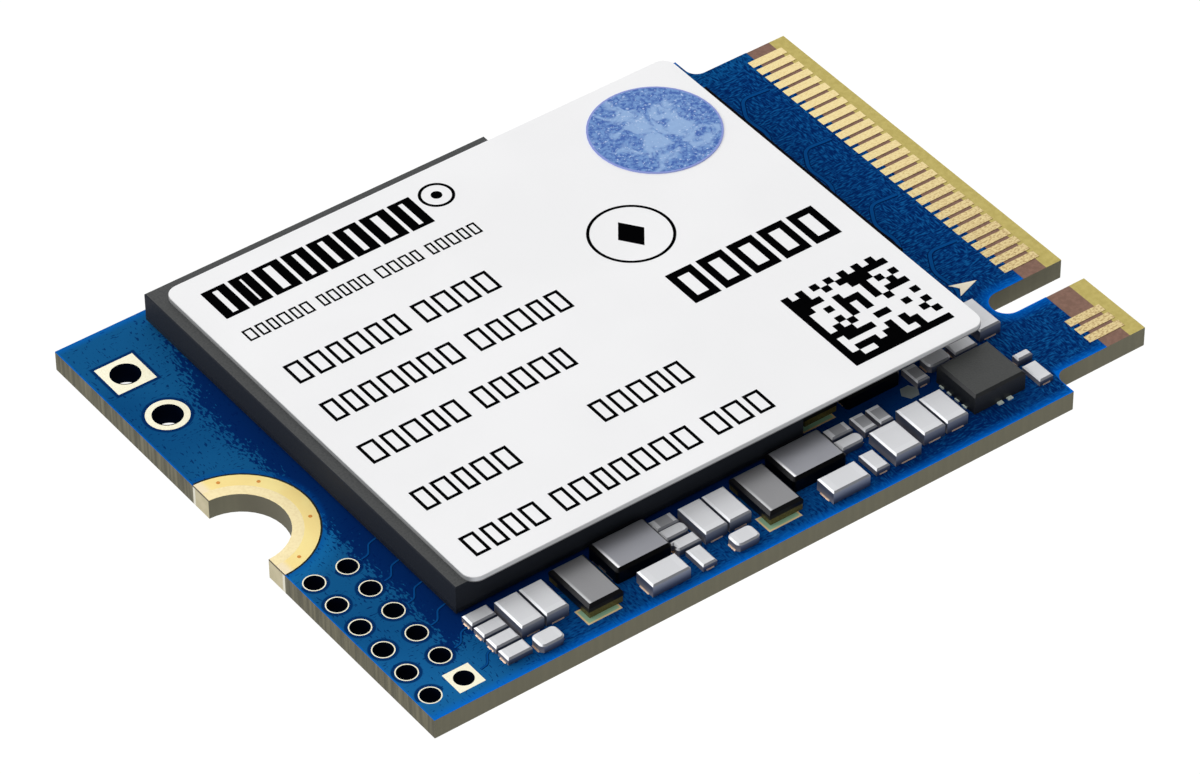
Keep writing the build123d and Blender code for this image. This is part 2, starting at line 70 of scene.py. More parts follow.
def srgb(red, green, blue):
    """A linear colour from display values of 0 to 255."""
    def linear(value):
        part = value / 255
        return part / 12.92 if part <= 0.04045 else ((part + 0.055) / 1.055) ** 2.4
    return (linear(red), linear(green), linear(blue), 1.0)


# ---- Node helpers ----


class Field:
    """A number that varies over a surface. Arithmetic on fields adds Math nodes."""

    def __init__(self, tree, socket):
        self.tree = tree
        self.socket = socket

    def math(self, operation, *others):
        node = self.tree.nodes.new("ShaderNodeMath")
        node.operation = operation
        for socket, value in zip(node.inputs, (self, *others)):
            if isinstance(value, Field):
                self.tree.links.new(value.socket, socket)
            else:
                socket.default_value = value
        return Field(self.tree, node.outputs[0])

    def __add__(self, other):
        return self.math("ADD", other)

    def __sub__(self, other):
        return self.math("SUBTRACT", other)

    def __mul__(self, other):
        return self.math("MULTIPLY", other)

    def __abs__(self):
        return self.math("ABSOLUTE")

    def least(self, other):
        return self.math("MINIMUM", other)

    def most(self, other):
        return self.math("MAXIMUM", other)

    def ease(self, start, end):
        """0 where the field is at start, 1 at end, and smooth between them."""
        node = self.tree.nodes.new("ShaderNodeMapRange")
        node.interpolation_type = "SMOOTHSTEP"
        node.inputs["From Min"].default_value = start
        node.inputs["From Max"].default_value = end
        self.tree.links.new(self.socket, node.inputs["Value"])
        return Field(self.tree, node.outputs["Result"])

    def between(self, low, high):
        """Rescales a field of 0 to 1 to run from low to high."""
        return self * (high - low) + low

    def flipped(self):
        return self * -1 + 1


class Surface:
    """A Principled material, with short calls for its procedural detail."""

    def __init__(self, name, colour, roughness, metallic=0.0, specular=0.5, **sockets):
        self.material = bpy.data.materials.new(name)
        self.material.use_nodes = True
        self.tree = self.material.node_tree
        self.shader = self.tree.nodes["Principled BSDF"]
        self.material.diffuse_color = colour
        constants = {
            "Base Color": colour, "Roughness": roughness, "Metallic": metallic,
            "Specular IOR Level": specular, **sockets,
        }
        for socket, value in constants.items():
            self.shader.inputs[socket].default_value = value

    def place(self, stretch=(1, 1, 1)):
        """The point on the surface in millimetres, with each axis stretched."""
        where = self.tree.nodes.new("ShaderNodeTexCoord")
        scale = self.tree.nodes.new("ShaderNodeMapping")
        scale.inputs["Scale"].default_value = [s / MM for s in stretch]
        self.tree.links.new(where.outputs["Object"], scale.inputs["Vector"])
        return scale.outputs["Vector"]

    def axes(self):
        """The point's x, y and z in millimetres."""
        split = self.tree.nodes.new("ShaderNodeSeparateXYZ")
        self.tree.links.new(self.place(), split.inputs[0])
        return [Field(self.tree, socket) for socket in split.outputs]

    def facing(self):
        """The x, y and z of the surface's own normal."""
        geometry = self.tree.nodes.new("ShaderNodeNewGeometry")
        split = self.tree.nodes.new("ShaderNodeSeparateXYZ")
        self.tree.links.new(geometry.outputs["Normal"], split.inputs[0])
        return [Field(self.tree, socket) for socket in split.outputs]

    def noise(self, scale, detail=3.0, stretch=(1, 1, 1), distortion=0.0):
        node = self.tree.nodes.new("ShaderNodeTexNoise")
        node.inputs["Scale"].default_value = scale
        node.inputs["Detail"].default_value = detail
        node.inputs["Distortion"].default_value = distortion
        self.tree.links.new(self.place(stretch), node.inputs["Vector"])
        return Field(self.tree, node.outputs["Fac"])

    def mix(self, factor, first, second):
        """A colour between two, each one a constant or the result of another mix."""
        node = self.tree.nodes.new("ShaderNodeMix")
        node.data_type = "RGBA"
        self.tree.links.new(factor.socket, node.inputs["Factor"])
        first_colour, second_colour, result = node.inputs[6], node.inputs[7], node.outputs[2]
        for socket, value in ((first_colour, first), (second_colour, second)):
            if isinstance(value, bpy.types.NodeSocket):
                self.tree.links.new(value, socket)
            else:
                socket.default_value = value
        return result

    def paint(self, colour):
        self.tree.links.new(colour, self.shader.inputs["Base Color"])
        return self

    def gloss(self, field):
        self.tree.links.new(field.socket, self.shader.inputs["Roughness"])
        return self

    def relief(self, field, depth_mm):
        """Bumps the surface by a field of 0 to 1."""
        node = self.tree.nodes.new("ShaderNodeBump")
        node.inputs["Distance"].default_value = depth_mm * MM
        self.tree.links.new(field.socket, node.inputs["Height"])
        self.tree.links.new(node.outputs["Normal"], self.shader.inputs["Normal"])
        return self

    def on(self, *names):
        """Puts the material on CAD nodes."""
        for name in names:
            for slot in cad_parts[name].material_slots:
                slot.material = self.material
        return self


# ---- Places read from the frame ----


def solids(node):
    """The lowest and highest corner of each separate solid of a CAD node."""
    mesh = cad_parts[node].data
    keys = [tuple(round(c, 8) for c in v.co) for v in mesh.vertices]
    leader = {key: key for key in keys}

    def find(key):
        while leader[key] != key:
            leader[key] = leader[leader[key]]
            key = leader[key]
        return key

    for edge in mesh.edges:
        leader[find(keys[edge.vertices[0]])] = find(keys[edge.vertices[1]])
    groups = {}
    for key in leader:
        groups.setdefault(find(key), []).append(key)
    boxes = [
        (Vector(map(min, *points)), Vector(map(max, *points))) for points in groups.values()
    ]
    return sorted(boxes, key=lambda box: (round(box[0].x, 6), box[0].y))


board_low, board_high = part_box("laminate_upper_half")
mask_low, mask_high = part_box("solder_mask_top")
label_low, label_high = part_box("label_sheet")
disc_low, disc_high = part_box("security_disc")
fingers_low, fingers_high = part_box("contact_fingers_top")
land_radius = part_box("mounting_land_top")[1].y
debug_boxes = solids("debug_pads_top")


# ---- Materials ----


def gap_to_box(x, y, box):
    """How far a point lies outside a box in plan, in millimetres: negative inside it."""
    low, high = box
    middle = (low + high) / 2 / MM
    half = (high - low) / 2 / MM
    return (abs(x - middle.x) - half.x).most(abs(y - middle.y) - half.y)


def distance_to(x, y, point):
    """Distance in plan from a point given in metres, in millimetres."""
    off_x, off_y = x - point[0] / MM, y - point[1] / MM
    return (off_x * off_x + off_y * off_y).math("SQRT")


def gap_to_hole_grid(x, y):
    """How far a point lies outside the nearest ring of the grid of debug holes."""
    rings = [box for box in debug_boxes if box[1].x - box[0].x < 0.9 * MM]
    radius = (rings[0][1].x - rings[0][0].x) / 2 / MM
    columns = sorted({round((low.x + high.x) / 2 / MM, 2) for low, high in debug_boxes})
    rows = sorted({round((low.y + high.y) / 2 / MM, 2) for low, high in debug_boxes})
    pitch = (rows[-1] - rows[0]) / (len(rows) - 1)
    off_x = abs(x - columns[0]).least(abs(x - columns[-1]))
    off_y = abs((y - rows[0] + pitch / 2).math("MODULO", pitch) - pitch / 2)
    beyond = (y * -1 + rows[0]).most(y - rows[-1]).most(0.0)
    return ((off_x * off_x + off_y * off_y).math("SQRT") + beyond) - radius


def painted_edge_glow(gap, width):
    """1 at a cut edge of the mask: a painted highlight, a thin bright line with a wider painted
    glow behind it.
    """
    return gap.ease(width, 0.0) * 0.5 + gap.ease(0.09, 0.02) * 0.35


def painted_edge_highlight(x, y):
    """Where the mask is painted bright at an edge of the card: a painted highlight standing in for
    light that enters it there.
    """
    shoulder = board_high.x / MM - TONGUE_LENGTH
    tongue_side = fingers_low.y / MM - TONGUE_MARGIN
    past_shoulder = x.ease(shoulder - 0.1, shoulder + 0.1)
    to_near = y - (past_shoulder * (tongue_side - board_low.y / MM) + board_low.y / MM)
    slot_end = board_high.x / MM - KEY_DEPTH + KEY_WIDTH / 2
    off_x, off_y = (x - slot_end).least(0.0), y - KEY_Y
    to_slot = (off_x * off_x + off_y * off_y).math("SQRT") - KEY_WIDTH / 2
    edges = (x - board_low.x / MM).ease(0.08, 0.01) * 0.5
    edges = edges.most((y * -1 + board_high.y / MM).ease(0.35, 0.0) * 0.4)
    return edges.most(painted_edge_glow(to_near, 0.42)).most(painted_edge_glow(to_slot, 0.55))


def mask_tones(mask, x, y, near_strip, on_top):
    """The slow changes of blue over the card, deeper towards the connector, with painted shade
    between the parts along the near strip and by the power parts.
    """
    cloud = mask.noise(0.16, 2).ease(0.35, 0.65)
    body = mask.mix(cloud, srgb(14, 76, 128), srgb(20, 88, 140))
    near_left_corner = (x + y).ease(-19.5, -24.5)
    body = mask.mix(near_left_corner, body, srgb(25, 100, 158))
    # Painted shade: the mask is painted darker along the near strip, between the small parts.
    body = mask.mix(near_strip, body, srgb(8, 64, 124))
    body = mask.mix(x.ease(4.0, 9.5), body, srgb(8, 56, 116))
    # Painted shade: the mask is painted navy by the power parts, under the label's near edge.
    shade_by_power_parts = x.ease(2.2, 3.4) * x.ease(9.6, 8.4) * y.ease(-6.0, -7.0)
    body = mask.mix(shade_by_power_parts * on_top * 0.85, body, srgb(3, 38, 94))
    far_tongue_corner = y.ease(8.6, 10.2) * x.ease(9.5, 10.6)
    return mask.mix(far_tongue_corner * 0.7, body, srgb(14, 86, 144))


def mask_shade(mask, body, x, y, land, on_top):
    """A painted glow near the ring round the notch, and a ragged painted shadow round the memory.
    """
    # Painted glow: lighter blue beside the ring round the notch.
    body = mask.mix(land.ease(1.1, 0.1) * y.ease(0.6, -0.6) * 0.6, body, srgb(24, 116, 182))
    flecks = mask.noise(13.0, 2, stretch=(1, 0.4, 1))
    ragged = mask.noise(1.0, 3).between(-0.45, 0.45) + flecks.between(-1.3, 1.3)
    shade = gap_to_box(x, y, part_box("memory_moulding")) + ragged + y.ease(4.5, 10.5) * 1.2
    body = mask.mix(shade.ease(1.15, 0.85) * on_top * 0.9, body, srgb(3, 31, 92))
    return mask.mix(land.ease(0.35, 0.05) * 0.5, body, srgb(2, 78, 160))


def mask_grain(mask):
    """Short strokes of copper under the mask, along X in some patches and along Y in others."""
    along_x = mask.noise(15.0, 1, stretch=(0.3, 1, 1), distortion=0.4)
    along_y = mask.noise(15.0, 1, stretch=(1, 0.3, 1), distortion=0.4)
    patch = mask.noise(0.8, 2).ease(0.44, 0.56)
    return along_x * patch + along_y * patch.flipped()


def gap_to_pads(x, y):
    """How far a point lies outside the nearest ring or pad of a plated hole."""
    round_pad, square_pad = solids("header_pads_top")
    radius = (round_pad[1].x - round_pad[0].x) / 2 / MM
    round_gap = distance_to(x, y, (round_pad[0] + round_pad[1]) / 2) - radius
    return gap_to_hole_grid(x, y).least(gap_to_box(x, y, square_pad)).least(round_gap)


def solder_mask():
    """Blue mask: a painted highlight at its cut edges and painted shade near the parts, with the
    grain of the copper showing through.
    """
    mask = Surface("solder_mask", srgb(10, 70, 126), 0.45, specular=0.0)
    x, y, z = mask.axes()
    on_top = z.ease(mask_low.z / MM - 0.1, mask_low.z / MM)
    near_strip = y.ease(-8.0, -9.5) * x.ease(-12.5, -9.5)
    land = distance_to(x, y, (board_low.x, 0)) - land_radius / MM
    body = mask_tones(mask, x, y, near_strip, on_top)
    body = mask_shade(mask, body, x, y, land, on_top)
    grain = mask_grain(mask)
    zone = x.ease(9.2, 10.4).most(near_strip * 0.6)
    body = mask.mix(grain.ease(0.50, 0.66) * zone * 0.65, body, srgb(20, 98, 162))
    body = mask.mix((grain - zone * 0.10).ease(0.375, 0.33) * 0.75, body, srgb(2, 30, 86))
    body = mask.mix(gap_to_pads(x, y).ease(0.15, 0.09) * 0.85, body, srgb(3, 36, 90))
    body = mask.mix(land.ease(0.08, 0.05), body, srgb(36, 44, 40))
    # Painted highlight: the mask is painted bright blue along the card's cut edges.
    mask.paint(mask.mix(painted_edge_highlight(x, y), body, srgb(0, 108, 216)))
    mask.relief(grain * zone, 0.016)
    return mask


def trace_coat():
    """The mask where it climbs over a wide trace: smooth on top, with painted shade that makes it
    dark down the sides.
    """
    coat = Surface("trace_coat", srgb(8, 62, 122), 0.45, specular=0.0)
    _, _, up = coat.facing()
    coat.paint(coat.mix(up.ease(0.9, 0.98), srgb(2, 26, 74), srgb(10, 72, 136)))
    return coat


def laminate():
    """Sawn glass-fibre edges, and the bare board between and past the contacts. The edges are
    painted darker as shade where they face left, and the bare board between the contacts is painted
    brown as shade.
    """
    board = Surface("laminate", srgb(112, 108, 92), 0.7, specular=0.1)
    x, _, _ = board.axes()
    normal_x, _, normal_z = board.facing()
    fibres = board.noise(5.0, 4, stretch=(1, 1, 0.06))
    card_end = board_low.x / MM
    end_face = normal_x.ease(-0.5, -0.9) * x.ease(card_end + 0.5, card_end + 0.1)
    streaks = fibres.ease(0.35, 0.7) * end_face.between(0.2, 1.0)
    edge = board.mix(streaks, srgb(107, 105, 89), srgb(127, 121, 101))
    # Painted shade: edges facing left are painted darker.
    edge = board.mix(normal_x.ease(-0.3, -0.8), edge, srgb(97, 94, 81))
    # The card's end keeps its fibre streaks and is painted darker as shade.
    edge = board.mix(end_face, edge, board.mix(streaks, srgb(82, 80, 68), srgb(109, 105, 88)))
    # Painted shade: the bare board between the contacts is painted a darker brown than past their
    # tips.
    bare = board.mix(board.noise(7.0, 3).ease(0.3, 0.7), srgb(140, 108, 94), srgb(126, 97, 84))
    tip_line = fingers_high.x / MM - 0.18
    tip = board.mix(board.noise(5.0, 3).ease(0.3, 0.7), srgb(199, 183, 108), srgb(188, 172, 98))
    flat = board.mix(x.ease(tip_line - 0.01, tip_line + 0.01), bare, tip)
    board.paint(board.mix(abs(normal_z).ease(0.6, 0.8), edge, flat))
    board.relief(fibres, 0.004)
    return board


def gold(name, light, dark, roughness=0.34, speckle=0.5, metallic=0.85):
    """Gold plating with a fine speckle."""
    metal = Surface(name, light, roughness, metallic=metallic)
    grains = metal.noise(11.0, 4).ease(0.35, 0.68)
    cloud = metal.noise(0.9, 2).ease(0.3, 0.7)
    metal.paint(metal.mix(grains * cloud.between(0.35, 1.0) * speckle, light, dark))
    metal.gloss(grains.between(roughness, roughness + 0.16))
    return metal


def finger_gold():
    """Gold of the contacts: smoother at the far end of the row, speckled at the near end."""
    metal = Surface("finger_gold", srgb(246, 224, 172), 0.34, metallic=0.85)
    _, y, _ = metal.axes()
    grains = metal.noise(15.0, 2, stretch=(0.6, 1, 1)).ease(0.42, 0.66)
    near = y.ease(6.0, -5.0)
    clean = metal.mix(near, srgb(231, 212, 156), srgb(216, 196, 143))
    dull = metal.mix(near, srgb(224, 202, 144), srgb(178, 152, 104))
    metal.paint(metal.mix(grains, clean, dull))
    metal.gloss(grains.between(0.34, 0.44))
    return metal


def land_gold():
    """Gold of the ring round the mounting notch: paler where it meets the card's end."""
    metal = Surface("land_gold", srgb(240, 212, 140), 0.4, metallic=0.2)
    x, _, _ = metal.axes()
    cloud = metal.noise(0.9, 2).ease(0.35, 0.65)
    ring = metal.mix(cloud, srgb(255, 234, 154), srgb(252, 226, 144))
    card_end = board_low.x / MM
    at_end = x.ease(card_end + 0.45, card_end + 0.2)
    metal.paint(metal.mix(at_end, ring, srgb(248, 230, 190)))
    return metal


def edge_gold():
    """Plating on the card's end beside the notch, lighter along its outer border."""
    metal = Surface("edge_gold", srgb(188, 180, 150), 0.5, metallic=0.3)
    _, y, z = metal.axes()
    side, top = land_radius / MM, mask_high.z / MM
    border = abs(y).ease(side - 0.16, side - 0.10)
    seam = z.ease(top - 0.06, top - 0.03)
    cloud = metal.noise(2.0, 2).ease(0.35, 0.65)
    plain = metal.mix(cloud, srgb(182, 172, 140), srgb(172, 163, 130))
    plain = metal.mix(border, plain, srgb(206, 202, 186))
    metal.paint(metal.mix(seam, plain, srgb(72, 62, 46)))
    return metal


def inductor_pad():
    """Large pads with a pale green middle and a gold outline."""
    pad = Surface("inductor_pad", srgb(206, 222, 168), 0.4, metallic=0.3)
    x, y, _ = pad.axes()
    gaps = [gap_to_box(x, y, box) for box in solids("chip_inductor_pads")]
    outline = gaps[0]
    for gap in gaps[1:]:
        outline = outline.least(gap)
    pad.paint(pad.mix(outline.ease(-0.09, -0.05), srgb(158, 200, 168), srgb(232, 206, 150)))
    return pad


def moulded(name, top, side, roughness, specular=0.5):
    """Moulded epoxy: a fine even grain, with its top painted lighter than its sides as painted
    light and shade.
    """
    body = Surface(name, side, roughness, specular=specular)
    _, _, up = body.facing()
    grain = body.noise(14.0, 4)
    # Painted light: the top and the sides of one epoxy get separate colours.
    colour = body.mix(up.ease(0.75, 0.95), side, top)
    body.paint(body.mix(grain.ease(0.35, 0.75) * 0.3, colour, side))
    body.gloss(body.noise(2.0, 2).between(roughness - 0.06, roughness + 0.08))
    body.relief(grain, 0.006)
    return body


def plated(name, top, side, roughness, metallic=1.0):
    """A smooth part with separate colours for its top and its sides, painted as light on the top
    and shade on the sides.
    """
    metal = Surface(name, top, roughness, metallic=metallic)
    _, _, up = metal.facing()
    metal.paint(metal.mix(up.ease(0.75, 0.95), side, top))
    metal.gloss(metal.noise(1.6, 3).between(roughness - 0.05, roughness + 0.07))
    return metal


def chip_part(name, top, metallic):
    """A chip part with painted light: a painted highlight on its left bevels, painted shade on its
    near ones, and walls painted in shade and reflection that change with height.
    """
    part = Surface(name, top, 0.36, metallic=metallic)
    _, _, z = part.axes()
    across, along, up = part.facing()
    height = z - mask_high.z / MM
    # Painted shade and reflection: near walls lighter towards the bottom, left walls darker towards
    # the top.
    near_wall_shading = part.mix(height.ease(0.02, 0.48), srgb(56, 66, 90), srgb(132, 138, 152))
    left_wall_shading = part.mix(height.ease(0.0, 0.35), srgb(136, 132, 136), srgb(78, 84, 100))
    to_left, to_near = across.ease(-0.4, -0.6), along.ease(-0.4, -0.6)
    wall = part.mix(to_left, near_wall_shading, left_wall_shading)
    # Painted highlight on the left bevels and painted shade on the near ones.
    bevel_highlight_and_shade = part.mix(to_near, part.mix(to_left, top, srgb(240, 241, 244)), srgb(140, 142, 148))
    sides = part.mix(up.ease(0.3, 0.5), wall, bevel_highlight_and_shade)
    part.paint(part.mix(up.ease(0.85, 0.95), sides, top))
    part.gloss(part.noise(1.6, 3).between(0.31, 0.43))
    return part


def pressed_block(name, node, top, side, line):
    """Pressed powder: a grey top and black sides as painted light and shade, and a painted
    highlight: a bright line inside the top's left edge.
    """
    body = Surface(name, top, 0.34, metallic=0.75)
    x, y, _ = body.axes()
    _, _, up = body.facing()
    colour = top
    node_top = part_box(node)[1].z
    outer = [box for box in solids(node) if box[1].z > node_top - 0.001 * MM]
    for low, high in outer:
        inset = x - low.x / MM
        shine = inset.ease(0.09, 0.12) * inset.ease(0.24, 0.15)
        shine = shine * y.ease(high.y / MM, low.y / MM + 0.3) * up.ease(0.9, 0.98)
        # Painted highlight along the top's left edge.
        colour = body.mix(shine, colour, line)
    body.paint(body.mix(up.ease(0.85, 0.95), side, colour))
    body.gloss(body.noise(1.6, 3).between(0.29, 0.41))
    return body


def label_paper():
    """Coated white label stock, with its cut edges painted grey as shade: darker where they face
    the near side.
    """
    paper = Surface("label_white", srgb(243, 243, 244), 0.5, specular=0.2)
    _, near, up = paper.facing()
    fibre = paper.noise(6.0, 4)
    cloud = paper.noise(0.22, 2)
    face = paper.mix(cloud.ease(0.3, 0.7), srgb(246, 246, 247), srgb(243, 243, 244))
    # Painted shade on the cut edges: grey, darker on the near-facing ones than on the others.
    cut = paper.mix(near.ease(-0.5, -0.9), srgb(136, 137, 138), srgb(204, 205, 207))
    paper.paint(paper.mix(up.ease(0.5, 0.9), cut, face))
    paper.gloss(fibre.between(0.42, 0.58))
    return paper


def mottled_disc():
    """Blue foil with cloudy mottling, fine sparkle and a lilac rim."""
    foil = Surface("disc_blue", srgb(110, 146, 205), 0.4, specular=0.2)
    x, y, _ = foil.axes()
    radius = (disc_high.x - disc_low.x) / 2 / MM
    distance = distance_to(x, y, (disc_low + disc_high) / 2)
    cloud = foil.noise(1.1, 6, distortion=1.2)
    middle = distance.ease(radius * 0.9, radius * 0.1)
    pale = (cloud + middle * 0.22).ease(0.56, 0.70)
    mottle = foil.noise(7.0, 4, distortion=0.5).ease(0.36, 0.64)
    body = foil.mix(mottle, srgb(54, 96, 174), srgb(110, 150, 206))
    body = foil.mix(pale * 0.85, body, srgb(150, 182, 224))
    body = foil.mix(foil.noise(11.0, 2).ease(0.63, 0.68) * 0.7, body, srgb(196, 214, 242))
    rim = distance.ease(radius - 0.09, radius - 0.05)
    foil.paint(foil.mix(rim, body, srgb(136, 150, 214)))
    return foil


def dress_nodes():
    """Gives every CAD node its material."""
    solder_mask().on("solder_mask_top", "solder_mask_bottom")
    laminate().on("laminate_lower_half", "laminate_upper_half")
    finger_gold().on("contact_fingers_top", "contact_fingers_bottom")
    land_gold().on("mounting_land_top", "mounting_land_bottom")
    gold("rim_gold", srgb(242, 226, 178), srgb(230, 210, 160), roughness=0.32, speckle=0.4).on(
        "mounting_land_rim",
    )
    edge_gold().on("board_end_plating")
    gold(
        "pad_cream", srgb(254, 250, 224), srgb(250, 238, 200),
        roughness=0.4, speckle=0.4, metallic=0.3,
    ).on("header_pads_top", "header_pads_bottom", "debug_pads_top", "debug_pads_bottom")
    gold("component_gold", srgb(240, 200, 160), srgb(214, 160, 118)).on(
        "component_pads", "power_inductor_terminals",
    )
    gold("copper", srgb(222, 146, 48), srgb(196, 120, 36), roughness=0.45, metallic=0.3).on(
        "inner_copper_plane", "stitching_vias", "power_inductor_coils",
    )
    gold("bond_gold", srgb(246, 214, 140), srgb(220, 180, 100)).on(
        "memory_bond_wires", "controller_bond_wires",
    )
    # Painted shade: the plated hole barrels are painted near black for the shade inside the holes.
    moulded("hole_plating", srgb(4, 10, 20), srgb(3, 8, 22), 0.5, specular=0.0).on(
        "plated_hole_barrels",
    )
    plated("test_metal", srgb(126, 134, 134), srgb(40, 110, 120), 0.45, metallic=0.2).on(
        "test_pad",
    )
    moulded("ink", srgb(248, 238, 214), srgb(236, 222, 190), 0.6).on("key_mark")
    moulded("package_black", srgb(84, 85, 85), srgb(37, 40, 46), 0.5, specular=0.03).on(
        "memory_moulding",
    )
    # Painted shade: the controller's moulding is painted near black with no sheen, darker than the
    # memory's, for the shade under the label's edge.
    moulded("controller_painted_shade", srgb(20, 19, 20), srgb(20, 19, 20), 0.5, specular=0.0).on(
        "controller_moulding",
    )
    moulded("substrate_dark", srgb(20, 26, 30), srgb(14, 18, 22), 0.5).on(
        "memory_substrate", "controller_substrate", "chip_inductor_windings",
    )
    plated("silicon", srgb(150, 154, 162), srgb(120, 124, 132), 0.1).on(
        "memory_dies", "controller_dies", "power_chip_die",
    )
    gold("solder", srgb(226, 196, 170), srgb(196, 158, 130), roughness=0.4, metallic=0.5).on(
        "memory_solder_balls", "controller_solder_balls", "solder_joints",
    )
    moulded("charcoal", srgb(51, 53, 52), srgb(26, 28, 30), 0.5, specular=0.4).on(
        "power_chip_moulding",
    )
    plated("lead_metal", srgb(232, 244, 232), srgb(214, 228, 218), 0.4, metallic=0.2).on(
        "power_chip_leads", "power_chip_paddle",
    )
    chip_part("cap_metal", srgb(218, 219, 222), metallic=0.15).on(
        "capacitor_end_caps", "small_capacitor_end_caps", "rounded_capacitor_end_caps",
        "filter_end_caps", "resistor_end_caps", "tiny_capacitor_end_caps",
    )
    chip_part("cap_ceramic", srgb(214, 215, 218), metallic=0.15).on(
        "capacitor_ceramics", "small_capacitor_ceramics", "rounded_capacitor_ceramics",
        "filter_ceramics", "tiny_capacitor_ceramics",
    )
    chip_part("resistor_top", srgb(170, 171, 175), metallic=0.3).on("resistor_ceramics")
    pressed_block(
        "inductor_block", "chip_inductor_mouldings",
        srgb(136, 136, 138), srgb(32, 32, 34), srgb(196, 197, 199),
    ).on("chip_inductor_mouldings")
    pressed_block(
        "core_black", "power_inductor_cores",
        srgb(142, 143, 149), srgb(13, 13, 15), srgb(250, 250, 252),
    ).on("power_inductor_cores")
    # The olive gold of the feet, painted darker as shade under the inductor bodies.
    gold(
        "inductor_foot", srgb(104, 94, 46), srgb(70, 62, 30),
        roughness=0.45, speckle=0.8, metallic=0.4,
    ).on("chip_inductor_feet")
    inductor_pad().on("chip_inductor_pads")
    label_paper().on("label_sheet")
    moulded("label_glue", srgb(120, 121, 122), srgb(110, 111, 112), 0.6).on("label_adhesive")
    mottled_disc().on("security_disc")
    moulded("crystal_ceramic", srgb(70, 66, 62), srgb(58, 55, 52), 0.5).on("crystal_tray")
    plated("crystal_lid", srgb(226, 222, 208), srgb(206, 202, 190), 0.25).on("crystal_lid")
    plated("quartz", srgb(226, 236, 238), srgb(210, 224, 228), 0.08, metallic=0.0).on(
        "crystal_blank",
    )


# ---- Flat pieces cut from closed outlines ----


def plate(name, loops, low, thickness, surface):
    """Closed outlines raised by a thickness. An outline inside another one is a hole."""
    curve = bpy.data.curves.new(name, "CURVE")
    curve.dimensions = "2D"
    curve.fill_mode = "BOTH"
    curve.extrude = thickness / 2
    for loop in loops:
        spline = curve.splines.new("POLY")
        spline.points.add(len(loop) - 1)
        for point, (x, y) in zip(spline.points, loop):
            point.co = (x, y, 0, 1)
        spline.use_cyclic_u = True
    source = bpy.data.objects.new(name + "_outline", curve)
    bpy.context.scene.collection.objects.link(source)
    source.location.z = low + thickness / 2
    bpy.context.view_layer.update()
    evaluated = source.evaluated_get(bpy.context.evaluated_depsgraph_get())
    mesh = bpy.data.meshes.new_from_object(evaluated)
    mesh.transform(source.matrix_world)
    bpy.data.objects.remove(source)
    seal(mesh)
    return piece(name, mesh, surface)


def seal(mesh):
    """Joins the doubled points of a mesh, so that it is closed."""
    shell = bmesh.new()
    shell.from_mesh(mesh)
    bmesh.ops.remove_doubles(shell, verts=shell.verts, dist=1e-7)
    bmesh.ops.recalc_face_normals(shell, faces=shell.faces)
    shell.to_mesh(mesh)
    shell.free()


def piece(name, mesh, surface):
    """A mesh as an object that rides on the card, with its material."""
    mesh.materials.clear()
    mesh.materials.append(surface.material)
    made = bpy.data.objects.new(name, mesh)
    bpy.context.scene.collection.objects.link(made)
    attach(made, "root")
    return made


def box_loop(x0, y0, x1, y1):
    return [(x0, y0), (x1, y0), (x1, y1), (x0, y1)]


def circle_loop(x, y, radius, count=72):
    turns = [2 * math.pi * k / count for k in range(count)]
    return [(x + radius * math.cos(t), y + radius * math.sin(t)) for t in turns]


# ---- Label print: plain blocks and frames where lettering would be ----

# Places on the label are in millimetres from its near left corner.


def frame_mark(x, y, width, height, stroke, side_stroke):
    """A hollow box."""
    outer = box_loop(x, y, x + width, y + height)
    inner = box_loop(x + side_stroke, y + stroke, x + width - side_stroke, y + height - stroke)
    return [outer, inner]


def text_row(left, right, base, height, stroke, rng, side_stroke=None, gap=0.2, words=(4, 7)):
    """A row of hollow boxes of one height, in groups, that fills a line from left to right."""
    side_stroke = side_stroke or stroke
    loops = []
    x = left
    boxes_left = rng.randint(*words)
    while True:
        width = rng.uniform(0.48, 0.66) * height
        if x + width > right:
            break
        loops += frame_mark(x, base, width, height, stroke, side_stroke)
        x += width + gap * height
        boxes_left -= 1
        if boxes_left == 0:
            x += 0.35 * height
            boxes_left = rng.randint(*words)
    return loops


def small_print():
    """The lines of small print, each one as long and as tall as a line of text."""
    rng = random.Random(7)
    rows = (
        (0.94, 10.49, 13.86, 0.60, 0.075),
        (1.04, 10.01, 11.11, 1.06, 0.12),
        (0.93, 10.61, 8.86, 1.05, 0.12),
        (0.73, 9.19, 6.42, 1.05, 0.12),
        (0.81, 5.34, 3.56, 1.05, 0.12),
        (7.95, 12.37, 3.56, 1.05, 0.12),
        (0.83, 13.03, 0.84, 1.05, 0.12),
    )
    loops = []
    for left, right, base, height, stroke in rows:
        loops += text_row(left, right, base, height, stroke, rng)
    return loops


def heading():
    """The bold heading line: tall boxes with heavy sides and thin tops."""
    rng = random.Random(3)
    return text_row(0.93, 9.59, 15.28, 1.60, 0.16, rng, side_stroke=0.36, gap=0.09, words=(9, 9))


def capacity():
    """The bold line in the middle of the label: five heavy boxes."""
    left, base, count = 13.92, 6.55, 5
    width, height, gap, stroke = 1.08, 1.74, 0.20, 0.30
    starts = [left + k * (width + gap) for k in range(count)]
    return [loop for x in starts for loop in frame_mark(x, base, width, height, stroke, stroke)]


